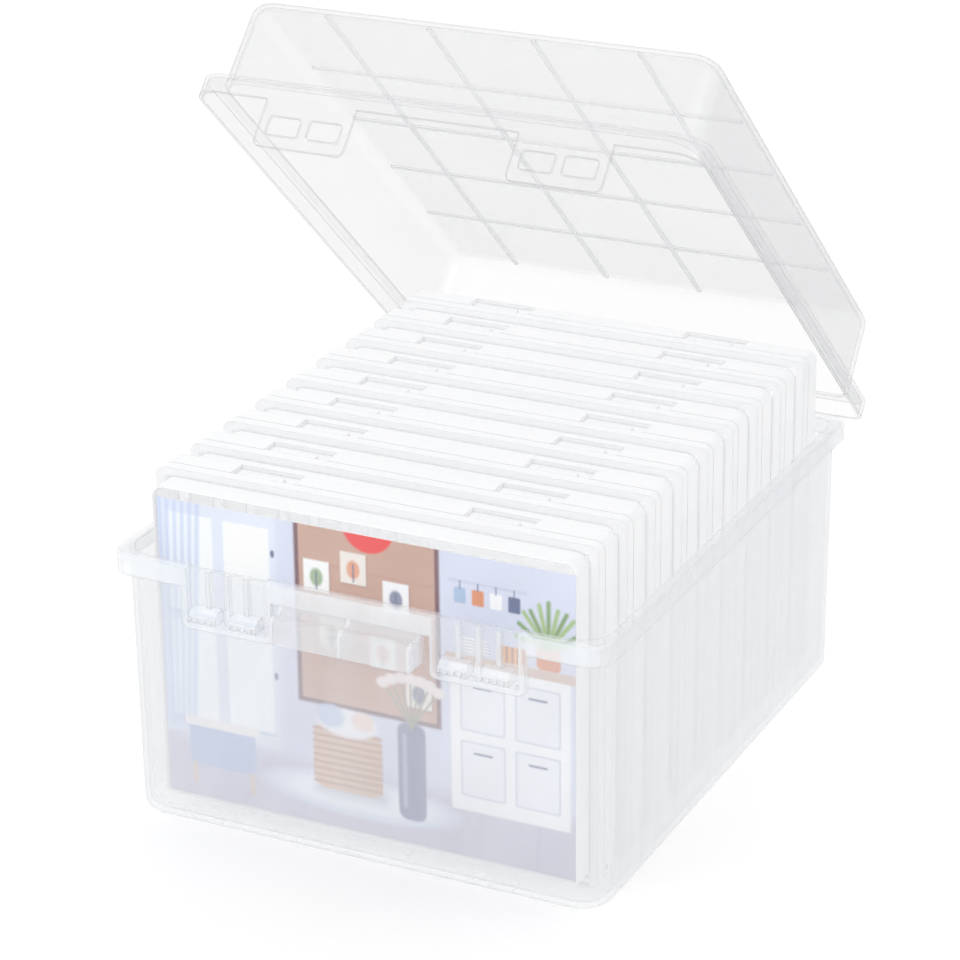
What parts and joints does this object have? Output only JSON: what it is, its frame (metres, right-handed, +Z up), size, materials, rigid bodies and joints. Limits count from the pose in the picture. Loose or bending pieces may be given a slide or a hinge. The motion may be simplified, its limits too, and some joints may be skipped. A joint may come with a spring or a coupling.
{
  "type": "photo storage case with clip-shut photo boxes",
  "caption": "Clear plastic photo keeper: an open bin holding a row of slim lidded photo boxes, one showing a print, with a hinged domed lid.",
  "frame": {"origin": "centre of the bin's flat underside, where it stands", "axes": "+Z up; +Y from the latch front to the hinged back; +X to the right seen from the front; the row is symmetric about X = 0; rest pose has the lid swung 42.6 degrees open"},
  "size_m": [0.2154, 0.2996, 0.3065],
  "materials": {
    "bin_plastic": "frosted clear polypropylene, satin",
    "lid_plastic": "frosted clear polypropylene, fine grain outside",
    "case_plastic": "clear polypropylene, lightly frosted",
    "photo_paper": "satin photographic paper"
  },
  "bodies": {
    "bin": {"bin": "bin_plastic"},
    "lid": {"lid": "lid_plastic"},
    "case_1": {"case_1_tray": "case_plastic", "case_1_cover": "case_plastic", "photo_print": "photo_paper"},
    "case_2": {"case_2_tray": "case_plastic", "case_2_cover": "case_plastic"},
    "case_3": {"case_3_tray": "case_plastic", "case_3_cover": "case_plastic"},
    "case_4": {"case_4_tray": "case_plastic", "case_4_cover": "case_plastic"},
    "case_5": {"case_5_tray": "case_plastic", "case_5_cover": "case_plastic"},
    "case_6": {"case_6_tray": "case_plastic", "case_6_cover": "case_plastic"},
    "case_7": {"case_7_tray": "case_plastic", "case_7_cover": "case_plastic"},
    "case_8": {"case_8_tray": "case_plastic", "case_8_cover": "case_plastic"},
    "case_9": {"case_9_tray": "case_plastic", "case_9_cover": "case_plastic"}
  },
  "joints": [
    {"name": "lid_hinge", "type": "hinge", "parent": "bin", "child": "lid", "pos_m": [0, 0.13376, 0.089], "axis": [-1, 0, 0], "range_deg": [-42.6, 62.4]},
    {"name": "case_1_lift", "type": "slide", "parent": "bin", "child": "case_1", "axis": [0, 0, 1], "range_m": [0, 0.116]},
    {"name": "case_2_lift", "type": "slide", "parent": "bin", "child": "case_2", "axis": [0, 0, 1], "range_m": [0, 0.116]},
    {"name": "case_3_lift", "type": "slide", "parent": "bin", "child": "case_3", "axis": [0, 0, 1], "range_m": [0, 0.116]},
    {"name": "case_4_lift", "type": "slide", "parent": "bin", "child": "case_4", "axis": [0, 0, 1], "range_m": [0, 0.116]},
    {"name": "case_5_lift", "type": "slide", "parent": "bin", "child": "case_5", "axis": [0, 0, 1], "range_m": [0, 0.116]},
    {"name": "case_6_lift", "type": "slide", "parent": "bin", "child": "case_6", "axis": [0, 0, 1], "range_m": [0, 0.109]},
    {"name": "case_7_lift", "type": "slide", "parent": "bin", "child": "case_7", "axis": [0, 0, 1], "range_m": [0, 0.086]},
    {"name": "case_8_lift", "type": "slide", "parent": "bin", "child": "case_8", "axis": [0, 0, 1], "range_m": [0, 0.062]},
    {"name": "case_9_lift", "type": "slide", "parent": "bin", "child": "case_9", "axis": [0, 0, 1], "range_m": [0, 0.038]}
  ]
}
